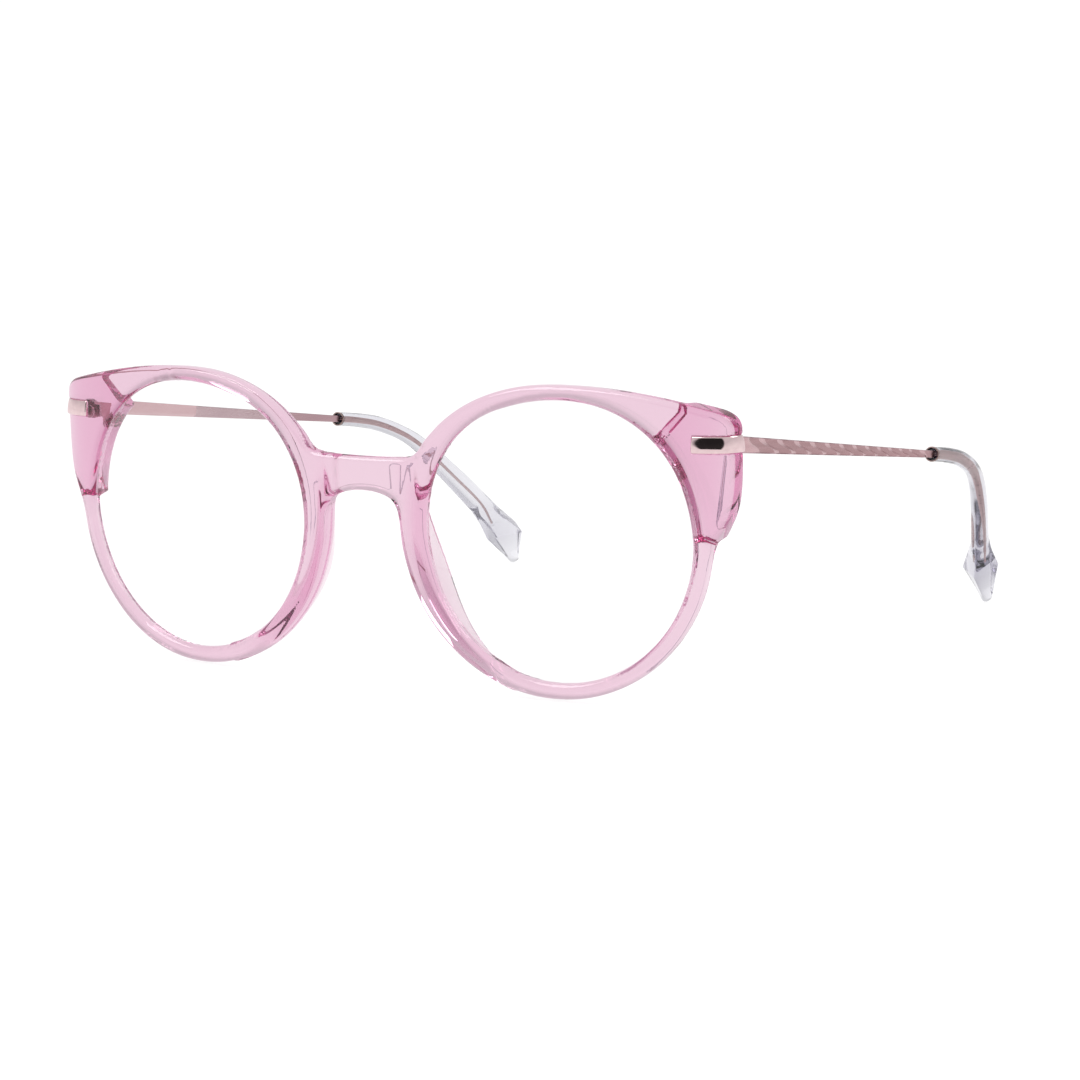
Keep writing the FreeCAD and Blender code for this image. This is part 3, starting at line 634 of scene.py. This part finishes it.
# every closed piece faces outward
for o in bpy.data.objects:
    if o.type == "MESH" and o.name.startswith(("front_shell", "bar_", "tip_right", "tip_left", "ring_", "plaque_")):
        bm = bmesh.new()
        bm.from_mesh(o.data)
        vol = bm.calc_volume(signed=True)
        loose = sum(1 for e in bm.edges if len(e.link_faces) != 2)
        print("piece", o.name, "verts", len(o.data.vertices), "volume mm3", round(vol * 1e9, 1), "open edges", loose)
        if vol < 0:
            for f in bm.faces:
                f.normal_flip()
            bm.to_mesh(o.data)
            print("turned", o.name)
        bm.free()


# -------------------------------------------------------------- materials --
def new_material(name):
    m = bpy.data.materials.new(name)
    m.use_nodes = True
    nt = m.node_tree
    b = next(n for n in nt.nodes if n.type == "BSDF_PRINCIPLED")
    return m, nt, b


def set_in(b, **kw):
    names = {"color": "Base Color", "metallic": "Metallic", "rough": "Roughness", "ior": "IOR",
             "trans": "Transmission Weight", "alpha": "Alpha", "coat": "Coat Weight",
             "coat_rough": "Coat Roughness", "spec": "Specular IOR Level"}
    for k, v in kw.items():
        s = b.inputs[names[k]]
        s.default_value = (*v, 1.0) if k == "color" else v


def noise(nt, scale, detail=3.0, rough=0.5, coord="Object"):
    tc = nt.nodes.new("ShaderNodeTexCoord")
    n = nt.nodes.new("ShaderNodeTexNoise")
    n.inputs["Scale"].default_value = scale
    n.inputs["Detail"].default_value = detail
    n.inputs["Roughness"].default_value = rough
    nt.links.new(tc.outputs[coord], n.inputs["Vector"])
    return n


def ramp(nt, src, lo, hi, a, b):
    r = nt.nodes.new("ShaderNodeMapRange")
    r.inputs["From Min"].default_value = lo
    r.inputs["From Max"].default_value = hi
    r.inputs["To Min"].default_value = a
    r.inputs["To Max"].default_value = b
    nt.links.new(src, r.inputs["Value"])
    return r.outputs["Result"]


def bump(nt, b, height, strength, dist):
    n = nt.nodes.new("ShaderNodeBump")
    n.inputs["Strength"].default_value = strength
    n.inputs["Distance"].default_value = dist
    nt.links.new(height, n.inputs["Height"])
    nt.links.new(n.outputs["Normal"], b.inputs["Normal"])


def absorb(nt, color, density):
    v = nt.nodes.new("ShaderNodeVolumeAbsorption")
    v.inputs["Color"].default_value = (*color, 1.0)
    v.inputs["Density"].default_value = density
    out = next(n for n in nt.nodes if n.type == "OUTPUT_MATERIAL")
    nt.links.new(v.outputs["Volume"], out.inputs["Volume"])


def clear_plastic(name, tint, ior, color, density, rough_lo, rough_hi):
    m, nt, b = new_material(name)
    set_in(b, color=tint, trans=1.0, ior=ior)
    n = noise(nt, 260.0, 4.0)
    nt.links.new(ramp(nt, n.outputs["Fac"], 0.3, 0.7, rough_lo, rough_hi), b.inputs["Roughness"])
    n2 = noise(nt, 45.0, 2.0)
    bump(nt, b, n2.outputs["Fac"], 0.05, 0.0004)
    absorb(nt, color, density)
    return m


pink = clear_plastic("pink_acetate", (0.84, 0.765, 0.79), 1.48, (0.8, 0.15, 0.53), 116.0, 0.0, 0.03)
clear = clear_plastic("tip_clear", (0.97, 0.97, 0.985), 1.46, (0.33, 0.3, 0.42), 118.0, 0.03, 0.09)


def metal(name, dark, light, rough_lo, rough_hi, stretch=(1, 1, 1), scale=900.0):
    m, nt, b = new_material(name)
    set_in(b, metallic=1.0)
    tc = nt.nodes.new("ShaderNodeTexCoord")
    mp = nt.nodes.new("ShaderNodeMapping")
    mp.inputs["Scale"].default_value = stretch
    nt.links.new(tc.outputs["Object"], mp.inputs["Vector"])
    n = nt.nodes.new("ShaderNodeTexNoise")
    n.inputs["Scale"].default_value = scale
    n.inputs["Detail"].default_value = 4.0
    nt.links.new(mp.outputs["Vector"], n.inputs["Vector"])
    cr = nt.nodes.new("ShaderNodeValToRGB")
    cr.color_ramp.elements[0].position = 0.3
    cr.color_ramp.elements[0].color = (*dark, 1)
    cr.color_ramp.elements[1].position = 0.7
    cr.color_ramp.elements[1].color = (*light, 1)
    nt.links.new(n.outputs["Fac"], cr.inputs["Fac"])
    nt.links.new(cr.outputs["Color"], b.inputs["Base Color"])
    nt.links.new(ramp(nt, n.outputs["Fac"], 0.3, 0.7, rough_lo, rough_hi), b.inputs["Roughness"])
    bump(nt, b, n.outputs["Fac"], 0.06, 0.00005)
    return m


rose = metal("rose_gold", (0.7, 0.52, 0.54), (0.78, 0.6, 0.61), 0.03, 0.08)
temple = metal("temple_metal", (0.48, 0.29, 0.31), (0.56, 0.35, 0.37), 0.16, 0.26, (1, 0.06, 1), 1500.0)
# a darker copy of the temple metal for the falling half of each cut: painted shade on the facets
facet_painted_shade = metal("temple_facet_painted_shade", (0.34, 0.2, 0.21), (0.41, 0.245, 0.26), 0.2, 0.32, (1, 0.06, 1), 1500.0)
inner = metal("temple_inner", (0.36, 0.23, 0.255), (0.43, 0.28, 0.305), 0.22, 0.32, (1, 0.06, 1), 1500.0)
hinge = metal("hinge_metal", (0.42, 0.28, 0.3), (0.55, 0.4, 0.41), 0.22, 0.35)
screw = metal("screw_metal", (0.5, 0.45, 0.45), (0.62, 0.58, 0.57), 0.18, 0.3)
collar = metal("collar", (0.3, 0.22, 0.2), (0.4, 0.31, 0.29), 0.2, 0.32)
core = metal("core_metal", (0.5, 0.33, 0.33), (0.62, 0.45, 0.44), 0.25, 0.4, (1, 0.1, 1), 1200.0)

lens, nt, b = new_material("lens")
set_in(b, color=(0.99, 0.995, 1.0), ior=1.5, alpha=0.07)
n = noise(nt, 30.0, 2.0)
nt.links.new(ramp(nt, n.outputs["Fac"], 0.3, 0.7, 0.0, 0.02), b.inputs["Roughness"])
set_in(b, coat=0.6, coat_rough=0.02)


def dress(o, m):
    if not o.data.materials:
        o.data.materials.append(m)
    for s in range(len(o.material_slots)):
        o.material_slots[s].link = "OBJECT"
        o.material_slots[s].material = m


nodes = frame["nodes"]
LOOK = {"lens": lens, "hinge_leaf": hinge, "hinge_rivets": hinge, "hinge_screw": screw,
        "temple_hinge_plate": temple, "tip_core_wire": core}
for name, o in nodes.items():
    for key, m in LOOK.items():
        if name in (key + "_right", key + "_left"):
            dress(o, m)
for o, kind in LOW:
    dress(o, hinge if kind == "leaf" else screw)
for o in bpy.data.objects:
    if o.name == "front_shell":
        dress(o, pink)
    elif o.name in ("plaque_right", "plaque_left"):
        dress(o, rose)
    elif o.name in ("bar_right", "bar_left"):
        # light and dark cuts on the outer face: the dark half of each cut is a darker copy of the same metal,
        # painted shade; a satin finish on the other sides
        for mat in (temple, facet_painted_shade, inner):
            o.data.materials.append(mat)
        o.data.polygons.foreach_set("material_index", bk)
        o.data.update()
    elif o.name in ("tip_right", "tip_left"):
        dress(o, clear)
    elif o.name in ("ring_right", "ring_left"):
        dress(o, collar)

# ------------------------------------------------------------------ stage --
fm = bpy.data.meshes.new("floor")
fm.from_pydata([(-9, -9, 0), (9, -9, 0), (9, 9, 0), (-9, 9, 0)], [], [(0, 1, 2, 3)])
floor = bpy.data.objects.new("floor", fm)
bpy.context.scene.collection.objects.link(floor)
floor.location.z = -0.0002
m, nt, b = new_material("floor")
set_in(b, rough=0.9, spec=0.1)
b.inputs["Emission Color"].default_value = (1, 1, 1, 1)
b.inputs["Emission Strength"].default_value = FLOOR_GLOW
n = noise(nt, 3.0)
cr = nt.nodes.new("ShaderNodeValToRGB")
cr.color_ramp.elements[0].color = (0.19, 0.19, 0.19, 1)
cr.color_ramp.elements[1].color = (0.21, 0.21, 0.21, 1)
nt.links.new(n.outputs["Fac"], cr.inputs["Fac"])
nt.links.new(cr.outputs["Color"], b.inputs["Base Color"])
floor.data.materials.append(m)

scene = bpy.context.scene
w = bpy.data.worlds.new("studio")
scene.world = w
w.use_nodes = True
wn = w.node_tree
bg = wn.nodes["Background"]
tc = wn.nodes.new("ShaderNodeTexCoord")
sp = wn.nodes.new("ShaderNodeSeparateXYZ")
wn.links.new(tc.outputs["Generated"], sp.inputs["Vector"])
cr = wn.nodes.new("ShaderNodeValToRGB")
el = cr.color_ramp.elements
el[0].position, el[0].color = 0.06, (1.0, 1.0, 1.0, 1)
el[1].position, el[1].color = 1.0, (0.8, 0.8, 0.8, 1)
e = el.new(0.3)
e.color = (0.72, 0.72, 0.73, 1)
wn.links.new(sp.outputs["Z"], cr.inputs["Fac"])
# a dark studio wall low down on one side, for the mirror metal to pick up
dp = wn.nodes.new("ShaderNodeVectorMath")
dp.operation = "DOT_PRODUCT"
wn.links.new(tc.outputs["Generated"], dp.inputs[0])
dp.inputs[1].default_value = (0.23, -0.935, 0.27)
mr = wn.nodes.new("ShaderNodeMapRange")
mr.inputs["From Min"].default_value = 0.9
mr.inputs["From Max"].default_value = 0.92
mr.inputs["To Min"].default_value = 1.0
mr.inputs["To Max"].default_value = 0.03
wn.links.new(dp.outputs["Value"], mr.inputs["Value"])
mx = wn.nodes.new("ShaderNodeMix")
mx.data_type = "RGBA"
mx.blend_type = "MULTIPLY"
mx.inputs["Factor"].default_value = 1.0
wn.links.new(cr.outputs["Color"], mx.inputs[6])
wn.links.new(mr.outputs["Result"], mx.inputs[7])
wn.links.new(mx.outputs[2], bg.inputs["Color"])
bg.inputs["Strength"].default_value = 1.04


def area(name, loc, target, size, power, size_y=None):
    d = bpy.data.lights.new(name, "AREA")
    d.energy = power
    d.size = size
    if size_y:
        d.shape = "RECTANGLE"
        d.size_y = size_y
    o = bpy.data.objects.new(name, d)
    scene.collection.objects.link(o)
    o.location = loc
    v = Vector(target) - Vector(loc)
    o.rotation_euler = v.to_track_quat("-Z", "Y").to_euler()
    return o


area("key", (-0.45, -0.55, 0.9), (0, 0, 0.02), 0.55, 4.5)
area("fill", (0.7, 0.3, 0.8), (0, 0, 0.02), 0.5, 2.5)

cam = bpy.data.cameras.new("cam")
cam.sensor_width = 36.0
cam.lens = 108.17
co = bpy.data.objects.new("cam", cam)
scene.collection.objects.link(co)
scene.camera = co
fwd = Vector((-0.50775085, 0.8511921, -0.13289502))
up = Vector((-0.06808476, 0.11412955, 0.99113012))
rgt = fwd.cross(up).normalized()
up = rgt.cross(fwd).normalized()
rot = Matrix((rgt, up, -fwd)).transposed()
co.matrix_world = Matrix.Translation(Vector((300.078, -444.879 + YS, 70.118 + Z0)) * MM) @ rot.to_4x4()
cam.clip_start = 0.01
cam.clip_end = 50

scene.cycles.max_bounces = 26
scene.cycles.transmission_bounces = 26
scene.cycles.glossy_bounces = 8
scene.view_settings.view_transform = "Standard"
scene.view_settings.look = "None"
scene.view_settings.exposure = 0.0
scene.view_settings.gamma = 1.0
